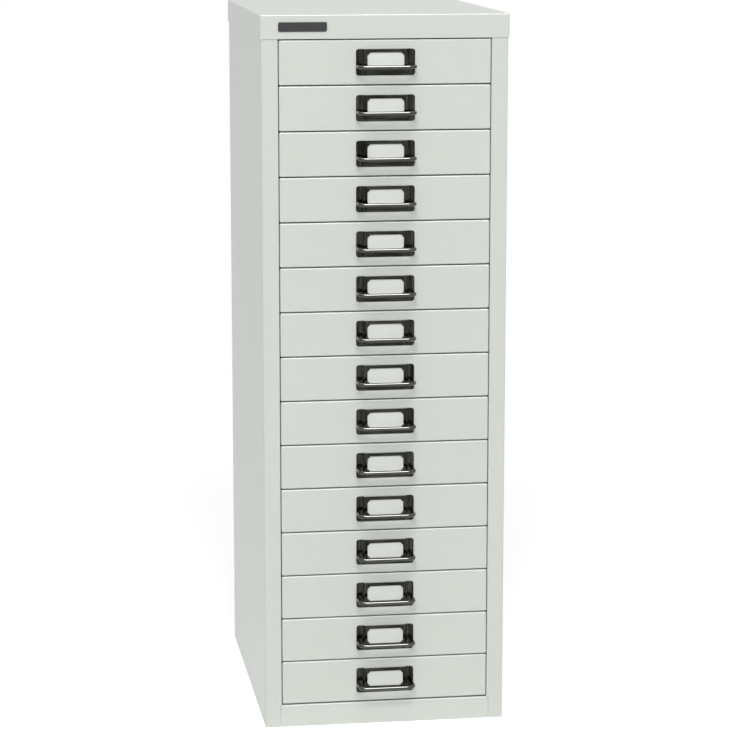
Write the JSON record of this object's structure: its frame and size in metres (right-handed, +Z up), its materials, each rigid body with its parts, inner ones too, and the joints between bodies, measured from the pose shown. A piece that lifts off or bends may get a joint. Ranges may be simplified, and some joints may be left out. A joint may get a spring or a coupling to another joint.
{
  "type": "multi-drawer cabinet",
  "caption": "Tall free-standing steel cabinet with a stack of shallow drawers, each with a metal label holder and a wire pull, under a flat cap-like top.",
  "frame": {"origin": "on the floor under the middle of the carcass", "axes": "+Z up, -Y out of the drawer fronts, +X to the right seen from the front"},
  "size_m": [0.2884, 0.417, 0.842],
  "materials": {
    "cabinet_paint": "satin",
    "drawer_paint": "satin",
    "runner_steel": "zinc plated",
    "pull_metal": "dark nickel",
    "badge_dark": "satin"
  },
  "bodies": {
    "cabinet": {"left_side_panel": "cabinet_paint", "right_side_panel": "cabinet_paint", "back_panel": "cabinet_paint", "base_pan": "cabinet_paint", "plinth_rail": "cabinet_paint", "header_rail": "cabinet_paint", "top_cover": "cabinet_paint", "blank_badge": "badge_dark", "left_runners": "runner_steel", "right_runners": "runner_steel"},
    "drawer_01": {"drawer_tray_01": "drawer_paint", "drawer_front_01": "drawer_paint", "label_pull_01": "pull_metal"},
    "drawer_02": {"drawer_tray_02": "drawer_paint", "drawer_front_02": "drawer_paint", "label_pull_02": "pull_metal"},
    "drawer_03": {"drawer_tray_03": "drawer_paint", "drawer_front_03": "drawer_paint", "label_pull_03": "pull_metal"},
    "drawer_04": {"drawer_tray_04": "drawer_paint", "drawer_front_04": "drawer_paint", "label_pull_04": "pull_metal"},
    "drawer_05": {"drawer_tray_05": "drawer_paint", "drawer_front_05": "drawer_paint", "label_pull_05": "pull_metal"},
    "drawer_06": {"drawer_tray_06": "drawer_paint", "drawer_front_06": "drawer_paint", "label_pull_06": "pull_metal"},
    "drawer_07": {"drawer_tray_07": "drawer_paint", "drawer_front_07": "drawer_paint", "label_pull_07": "pull_metal"},
    "drawer_08": {"drawer_tray_08": "drawer_paint", "drawer_front_08": "drawer_paint", "label_pull_08": "pull_metal"},
    "drawer_09": {"drawer_tray_09": "drawer_paint", "drawer_front_09": "drawer_paint", "label_pull_09": "pull_metal"},
    "drawer_10": {"drawer_tray_10": "drawer_paint", "drawer_front_10": "drawer_paint", "label_pull_10": "pull_metal"},
    "drawer_11": {"drawer_tray_11": "drawer_paint", "drawer_front_11": "drawer_paint", "label_pull_11": "pull_metal"},
    "drawer_12": {"drawer_tray_12": "drawer_paint", "drawer_front_12": "drawer_paint", "label_pull_12": "pull_metal"},
    "drawer_13": {"drawer_tray_13": "drawer_paint", "drawer_front_13": "drawer_paint", "label_pull_13": "pull_metal"},
    "drawer_14": {"drawer_tray_14": "drawer_paint", "drawer_front_14": "drawer_paint", "label_pull_14": "pull_metal"},
    "drawer_15": {"drawer_tray_15": "drawer_paint", "drawer_front_15": "drawer_paint", "label_pull_15": "pull_metal"}
  },
  "joints": [
    {"name": "drawer_01_slide", "type": "slide", "parent": "cabinet", "child": "drawer_01", "axis": [0, -1, 0], "range_m": [0, 0.285]},
    {"name": "drawer_02_slide", "type": "slide", "parent": "cabinet", "child": "drawer_02", "axis": [0, -1, 0], "range_m": [0, 0.285]},
    {"name": "drawer_03_slide", "type": "slide", "parent": "cabinet", "child": "drawer_03", "axis": [0, -1, 0], "range_m": [0, 0.285]},
    {"name": "drawer_04_slide", "type": "slide", "parent": "cabinet", "child": "drawer_04", "axis": [0, -1, 0], "range_m": [0, 0.285]},
    {"name": "drawer_05_slide", "type": "slide", "parent": "cabinet", "child": "drawer_05", "axis": [0, -1, 0], "range_m": [0, 0.285]},
    {"name": "drawer_06_slide", "type": "slide", "parent": "cabinet", "child": "drawer_06", "axis": [0, -1, 0], "range_m": [0, 0.285]},
    {"name": "drawer_07_slide", "type": "slide", "parent": "cabinet", "child": "drawer_07", "axis": [0, -1, 0], "range_m": [0, 0.285]},
    {"name": "drawer_08_slide", "type": "slide", "parent": "cabinet", "child": "drawer_08", "axis": [0, -1, 0], "range_m": [0, 0.285]},
    {"name": "drawer_09_slide", "type": "slide", "parent": "cabinet", "child": "drawer_09", "axis": [0, -1, 0], "range_m": [0, 0.285]},
    {"name": "drawer_10_slide", "type": "slide", "parent": "cabinet", "child": "drawer_10", "axis": [0, -1, 0], "range_m": [0, 0.285]},
    {"name": "drawer_11_slide", "type": "slide", "parent": "cabinet", "child": "drawer_11", "axis": [0, -1, 0], "range_m": [0, 0.285]},
    {"name": "drawer_12_slide", "type": "slide", "parent": "cabinet", "child": "drawer_12", "axis": [0, -1, 0], "range_m": [0, 0.285]},
    {"name": "drawer_13_slide", "type": "slide", "parent": "cabinet", "child": "drawer_13", "axis": [0, -1, 0], "range_m": [0, 0.285]},
    {"name": "drawer_14_slide", "type": "slide", "parent": "cabinet", "child": "drawer_14", "axis": [0, -1, 0], "range_m": [0, 0.285]},
    {"name": "drawer_15_slide", "type": "slide", "parent": "cabinet", "child": "drawer_15", "axis": [0, -1, 0], "range_m": [0, 0.285]}
  ]
}
